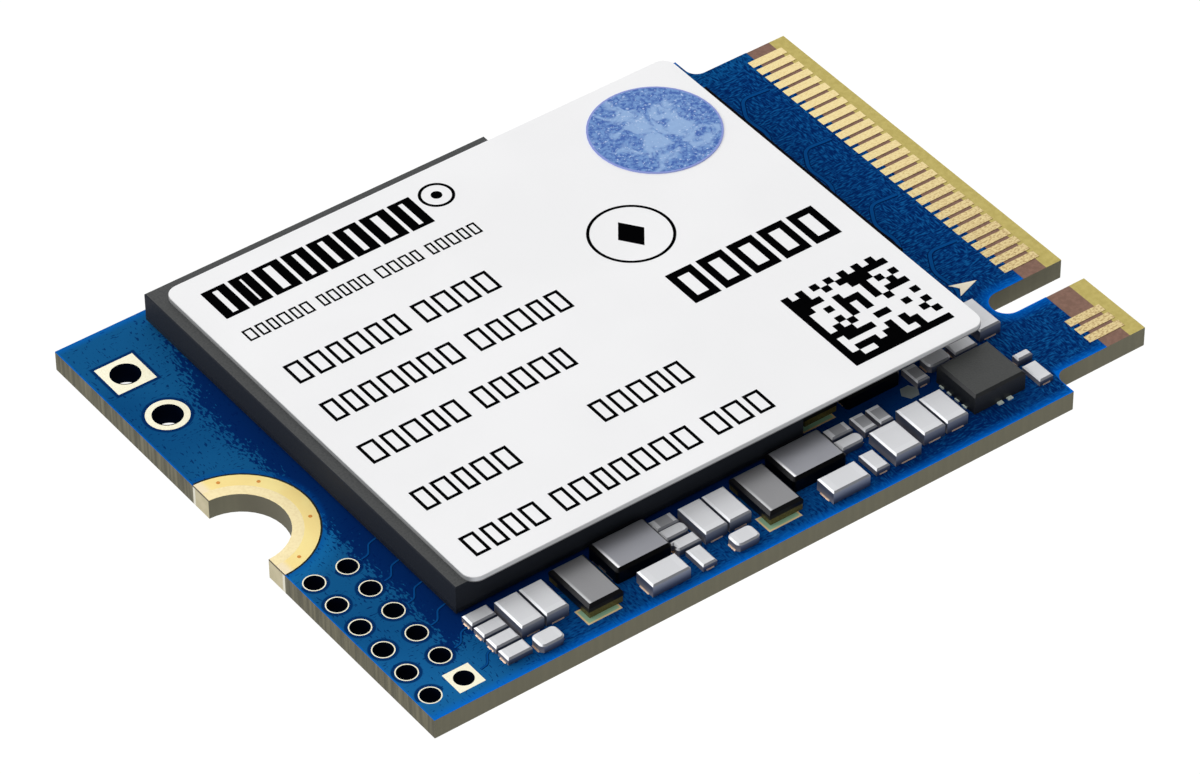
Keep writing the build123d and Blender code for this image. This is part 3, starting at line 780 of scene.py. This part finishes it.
def emblem():
    """A plain ring round a diamond, and a small ring with a dot by the heading."""
    stroke = 0.11
    x, y, radius = 14.35, 10.75, 1.53
    half_width, half_height = 0.55, 0.75
    diamond = [(x - half_width, y), (x, y - half_height), (x + half_width, y), (x, y + half_height)]
    small_x, small_y, small_radius, dot_radius = 10.27, 16.39, 0.64, 0.2
    return [
        circle_loop(x, y, radius), circle_loop(x, y, radius - stroke), diamond,
        circle_loop(small_x, small_y, small_radius),
        circle_loop(small_x, small_y, small_radius - stroke),
        circle_loop(small_x, small_y, dot_radius, 32),
    ]


def matrix():
    """A square of random modules with two solid sides and two dashed ones. It encodes nothing."""
    rng = random.Random(21)
    count, step = 14, 0.295
    left, base = 16.25, 0.83
    overlap = 0.004  # so that neighbouring modules leave no gap

    def filled(column, row):
        if column == 0 or row == 0:
            return True
        if row == count - 1:
            return column % 2 == 0
        if column == count - 1:
            return row % 2 == 0
        return rng.random() < 0.46

    cells = [(c, r) for c in range(count) for r in range(count) if filled(c, r)]
    corners = [(left + c * step, base + r * step) for c, r in cells]
    reach = step + overlap
    return [box_loop(x - overlap, y - overlap, x + reach, y + reach) for x, y in corners]


def on_label(loops):
    """Outlines in metres in the frame, from outlines placed on the label."""
    return [[(label_low.x + x * MM, label_low.y + y * MM) for x, y in loop] for loop in loops]


def print_label(ink):
    top = label_high.z
    for name, loops in (
        ("label_small_print", small_print()), ("label_heading_blocks", heading()),
        ("label_capacity_blocks", capacity()), ("label_emblem", emblem()),
    ):
        plate(name, on_label(loops), top, INK_HEIGHT, ink)
    modules = blocks_mesh("label_matrix", on_label(matrix()), top, INK_HEIGHT)
    piece("label_matrix", modules, ink)


def blocks_mesh(name, loops, low, height):
    """Separate upright prisms, one for each outline."""
    shell = bmesh.new()
    for loop in loops:
        ends = [[shell.verts.new((x, y, z)) for x, y in loop] for z in (low, low + height)]
        shell.faces.new(reversed(ends[0]))
        shell.faces.new(ends[1])
        count = len(loop)
        for k in range(count):
            j = (k + 1) % count
            shell.faces.new((ends[0][k], ends[0][j], ends[1][j], ends[1][k]))
    mesh = bpy.data.meshes.new(name)
    shell.to_mesh(mesh)
    shell.free()
    return mesh


# ---- Copper traces that stand up under the solder mask ----


def ribbon(points, width):
    """The cross sections of a low ridge along a path: two feet and two narrower shoulders."""
    low, high = mask_high.z - TRACE_HEIGHT / 2, mask_high.z + TRACE_HEIGHT / 2
    rings = []
    for k, point in enumerate(points):
        before = points[max(k - 1, 0)]
        after = points[min(k + 1, len(points) - 1)]
        tangent = (after - before).normalized()
        side = Vector((-tangent.y, tangent.x)) * width / 2
        corners = ((side, low), (-side, low), (-side / 2, high), (side / 2, high))
        rings.append([(*(point + offset), z) for offset, z in corners])
    return rings


def ribbons_mesh(name, ribbons):
    """Closed ridges, one for each list of cross sections."""
    shell = bmesh.new()
    for sections in ribbons:
        rings = [[shell.verts.new(corner) for corner in section] for section in sections]
        shell.faces.new(rings[0])
        shell.faces.new(reversed(rings[-1]))
        for here, there in zip(rings, rings[1:]):
            for k in range(4):
                j = (k + 1) % 4
                shell.faces.new((here[j], here[k], there[k], there[j]))
    bmesh.ops.recalc_face_normals(shell, faces=shell.faces)
    mesh = bpy.data.meshes.new(name)
    shell.to_mesh(mesh)
    shell.free()
    return mesh


def bent(start, moves, radius):
    """A path from start through straight moves, in millimetres, with rounded corners."""
    corners = [Vector(start)]
    for move in moves:
        corners.append(corners[-1] + Vector(move))
    points = [corners[0]]
    steps = 6
    for before, corner, after in zip(corners, corners[1:], corners[2:]):
        first = corner + (before - corner).normalized() * radius
        last = corner + (after - corner).normalized() * radius
        for k in range(steps + 1):
            t = k / steps
            points.append(first.lerp(corner, t).lerp(corner.lerp(last, t), t))
    points.append(corners[-1])
    return [point * MM for point in points]


def connector_traces():
    """Wide traces that leave the contacts and turn to run along the label."""
    contacts = fingers_low.x / MM
    starts = [
        (contacts - 0.32, 7.80), (contacts - 0.27, 4.30),
        (contacts - 0.32, 0.55), (contacts - 0.27, -2.60),
    ]
    moves = [(-1.10, 0.10), (-0.55, -0.95), (0.10, -1.15), (-0.45, -0.80)]
    return [bent(start, moves, radius=0.32) for start in starts]


def debug_traces():
    """A trace from each debug hole nearer the memory, towards its edge."""
    column = [box for box in debug_boxes if box[0].x > debug_boxes[0][1].x]
    moves = [(0.30, 0.05), (0.28, 0.42), (0.45, 0.10)]
    clear_of_ring = 0.16
    paths = []
    for low, high in column:
        start = (high.x / MM + clear_of_ring, (low.y + high.y) / 2 / MM)
        paths.append(bent(start, moves, radius=0.12))
    return paths


def make_traces(coat):
    ridges = [ribbon(path, TRACE_WIDTH) for path in connector_traces()]
    ridges += [ribbon(path, TRACE_WIDTH / 2) for path in debug_traces()]
    piece("board_traces", ribbons_mesh("board_traces", ridges), coat)


# ---- Studio ----


def make_floor():
    """A white floor that lights itself, so that it stays even."""
    half = 1.5
    low = cad_low.z - 0.02 * MM
    corners = [(-half, -half, low), (half, -half, low), (half, half, low), (-half, half, low)]
    mesh = bpy.data.meshes.new("floor")
    mesh.from_pydata(corners, [], [(0, 1, 2, 3)])
    glow = {"Emission Color": (1, 1, 1, 1), "Emission Strength": 1.0}
    surface = Surface("floor", (0.04, 0.04, 0.04, 1), 0.9, specular=0.0, **glow)
    mesh.materials.append(surface.material)
    floor = bpy.data.objects.new("floor", mesh)
    bpy.context.scene.collection.objects.link(floor)


def make_world():
    """An even white studio with one darker side, to the front right."""
    darkest = Vector((0.4425, -0.66, 0.607)).normalized()
    world = bpy.data.worlds.new("studio")
    bpy.context.scene.world = world
    world.use_nodes = True
    tree = world.node_tree
    background = tree.nodes["Background"]
    where = tree.nodes.new("ShaderNodeTexCoord")
    dot = tree.nodes.new("ShaderNodeVectorMath")
    dot.operation = "DOT_PRODUCT"
    dot.inputs[1].default_value = darkest
    tree.links.new(where.outputs["Generated"], dot.inputs[0])
    level = Field(tree, dot.outputs["Value"]).ease(0.55, 0.95).between(1.18, 0.06)
    tree.links.new(level.socket, background.inputs["Color"])
    background.inputs["Strength"].default_value = 1.0


def softbox(name, direction, distance, size, power):
    """A square area light that faces the card."""
    light = bpy.data.lights.new(name, "AREA")
    light.shape = "SQUARE"
    light.size = size
    light.energy = power
    lamp = bpy.data.objects.new(name, light)
    bpy.context.scene.collection.objects.link(lamp)
    way = Vector(direction).normalized()
    lamp.location = way * distance
    lamp.rotation_mode = "QUATERNION"
    lamp.rotation_quaternion = way.to_track_quat("Z", "Y")


def make_camera():
    """A long lens from the front left, above the card."""
    azimuth, elevation, roll = (math.radians(a) for a in (-36.1046, 41.3291, -0.502))
    distance = 204.5903 * MM
    target = Vector((-1.4563, -1.3933, 0.8)) * MM
    back = Vector((
        math.sin(azimuth) * math.cos(elevation),
        -math.cos(azimuth) * math.cos(elevation),
        math.sin(elevation),
    ))
    right = Vector((0, 0, 1)).cross(back).normalized()
    up = back.cross(right)
    right, up = (
        right * math.cos(roll) + up * math.sin(roll),
        up * math.cos(roll) - right * math.sin(roll),
    )
    data = bpy.data.cameras.new("camera")
    data.sensor_width = 36
    data.lens = 184.63
    data.clip_start = 0.001
    data.clip_end = 20
    camera = bpy.data.objects.new("camera", data)
    bpy.context.scene.collection.objects.link(camera)
    turn = Matrix((right, up, back)).transposed().to_4x4()
    camera.matrix_world = Matrix.Translation(target + back * distance) @ turn
    bpy.context.scene.camera = camera


make_camera()
dress_nodes()
print_label(moulded("print_black", srgb(4, 4, 5), srgb(4, 4, 5), 0.6, 0.0))
make_traces(trace_coat())
make_floor()
make_world()
softbox("back_left_light", (-0.66, 0.607, 0.442), distance=0.35, size=0.14, power=0.22)
bpy.context.scene.view_settings.view_transform = "Standard"
